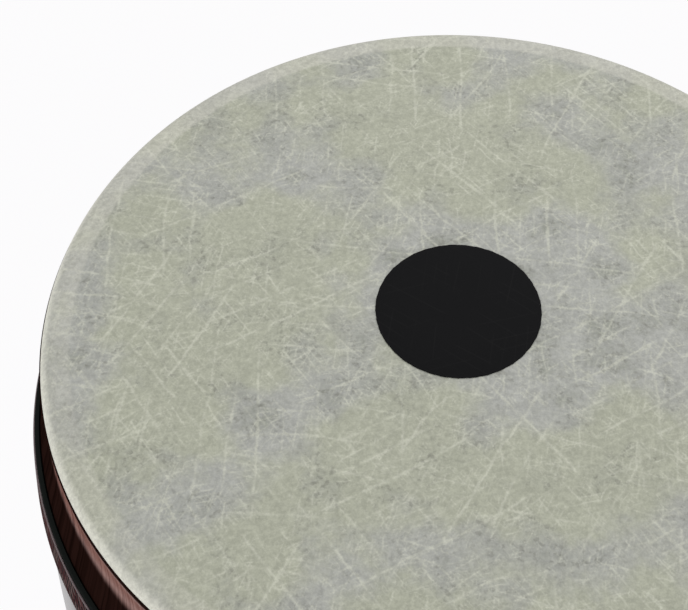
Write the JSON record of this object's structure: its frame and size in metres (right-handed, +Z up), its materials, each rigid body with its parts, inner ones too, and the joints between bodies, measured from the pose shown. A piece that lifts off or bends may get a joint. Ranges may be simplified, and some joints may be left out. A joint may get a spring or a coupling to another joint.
{
  "type": "conga drum",
  "caption": "Barrel-shaped wooden hand drum with a film head glued over its edge, tuned by a ring inside the shell that a set of screws lifts from below.",
  "frame": {"origin": "centre of the foot's underside, on the surface that the drum stands on", "axes": "+Z up the drum's axis towards the head, +X and +Y level, +X through the first bracket"},
  "size_m": [0.3478, 0.3484, 0.7114],
  "materials": {
    "lacquered_wood": "satin lacquer",
    "head_film": "matte fibrous film",
    "dot_black": "matte printed",
    "hoop_black": "satin powder coat",
    "woven_band": "tight diagonal weave",
    "foot_rubber": "matte moulded",
    "ring_aluminium": "brushed",
    "plated_steel": "zinc plated"
  },
  "bodies": {
    "drum": {"stave_01": "lacquered_wood", "stave_02": "lacquered_wood", "stave_03": "lacquered_wood", "stave_04": "lacquered_wood", "stave_05": "lacquered_wood", "stave_06": "lacquered_wood", "stave_07": "lacquered_wood", "stave_08": "lacquered_wood", "stave_09": "lacquered_wood", "stave_10": "lacquered_wood", "stave_11": "lacquered_wood", "stave_12": "lacquered_wood", "stave_13": "lacquered_wood", "stave_14": "lacquered_wood", "stave_15": "lacquered_wood", "stave_16": "lacquered_wood", "stave_17": "lacquered_wood", "stave_18": "lacquered_wood", "head_film": "head_film", "centre_dot": "dot_black", "upper_hoop": "hoop_black", "woven_band": "woven_band", "lower_hoop": "hoop_black", "foot_ring": "foot_rubber", "tuning_bracket_1": "plated_steel", "tuning_bracket_2": "plated_steel", "tuning_bracket_3": "plated_steel", "tuning_bracket_4": "plated_steel", "tuning_bracket_5": "plated_steel", "tuning_bracket_6": "plated_steel", "bracket_screw_1a": "plated_steel", "bracket_screw_1b": "plated_steel", "bracket_screw_2a": "plated_steel", "bracket_screw_2b": "plated_steel", "bracket_screw_3a": "plated_steel", "bracket_screw_3b": "plated_steel", "bracket_screw_4a": "plated_steel", "bracket_screw_4b": "plated_steel", "bracket_screw_5a": "plated_steel", "bracket_screw_5b": "plated_steel", "bracket_screw_6a": "plated_steel", "bracket_screw_6b": "plated_steel"},
    "tuning_ring": {"tuning_ring": "ring_aluminium", "thrust_cup_1": "plated_steel", "thrust_cup_2": "plated_steel", "thrust_cup_3": "plated_steel", "thrust_cup_4": "plated_steel", "thrust_cup_5": "plated_steel", "thrust_cup_6": "plated_steel"},
    "lifting_screw_1": {"lifting_screw_1": "plated_steel"},
    "lifting_screw_2": {"lifting_screw_2": "plated_steel"},
    "lifting_screw_3": {"lifting_screw_3": "plated_steel"},
    "lifting_screw_4": {"lifting_screw_4": "plated_steel"},
    "lifting_screw_5": {"lifting_screw_5": "plated_steel"},
    "lifting_screw_6": {"lifting_screw_6": "plated_steel"}
  },
  "joints": [
    {"name": "ring_lift", "type": "slide", "parent": "drum", "child": "tuning_ring", "axis": [0, 0, 1], "range_m": [-0.005, 0]},
    {"name": "screw_1_turn", "type": "hinge", "parent": "tuning_ring", "child": "lifting_screw_1", "pos_m": [0.1275, 0, 0.66], "axis": [0, 0, 1], "range_deg": [-1440, 0]},
    {"name": "screw_2_turn", "type": "hinge", "parent": "tuning_ring", "child": "lifting_screw_2", "pos_m": [0.06375, 0.11042, 0.66], "axis": [0, 0, 1], "range_deg": [-1440, 0]},
    {"name": "screw_3_turn", "type": "hinge", "parent": "tuning_ring", "child": "lifting_screw_3", "pos_m": [-0.06375, 0.11042, 0.66], "axis": [0, 0, 1], "range_deg": [-1440, 0]},
    {"name": "screw_4_turn", "type": "hinge", "parent": "tuning_ring", "child": "lifting_screw_4", "pos_m": [-0.1275, 0, 0.66], "axis": [0, 0, 1], "range_deg": [-1440, 0]},
    {"name": "screw_5_turn", "type": "hinge", "parent": "tuning_ring", "child": "lifting_screw_5", "pos_m": [-0.06375, -0.11042, 0.66], "axis": [0, 0, 1], "range_deg": [-1440, 0]},
    {"name": "screw_6_turn", "type": "hinge", "parent": "tuning_ring", "child": "lifting_screw_6", "pos_m": [0.06375, -0.11042, 0.66], "axis": [0, 0, 1], "range_deg": [-1440, 0]}
  ],
  "couplings": [
    {"joint": "screw_1_turn", "follows": "ring_lift", "rad_per_m": 5026.5},
    {"joint": "screw_2_turn", "follows": "ring_lift", "rad_per_m": 5026.5},
    {"joint": "screw_3_turn", "follows": "ring_lift", "rad_per_m": 5026.5},
    {"joint": "screw_4_turn", "follows": "ring_lift", "rad_per_m": 5026.5},
    {"joint": "screw_5_turn", "follows": "ring_lift", "rad_per_m": 5026.5},
    {"joint": "screw_6_turn", "follows": "ring_lift", "rad_per_m": 5026.5}
  ]
}
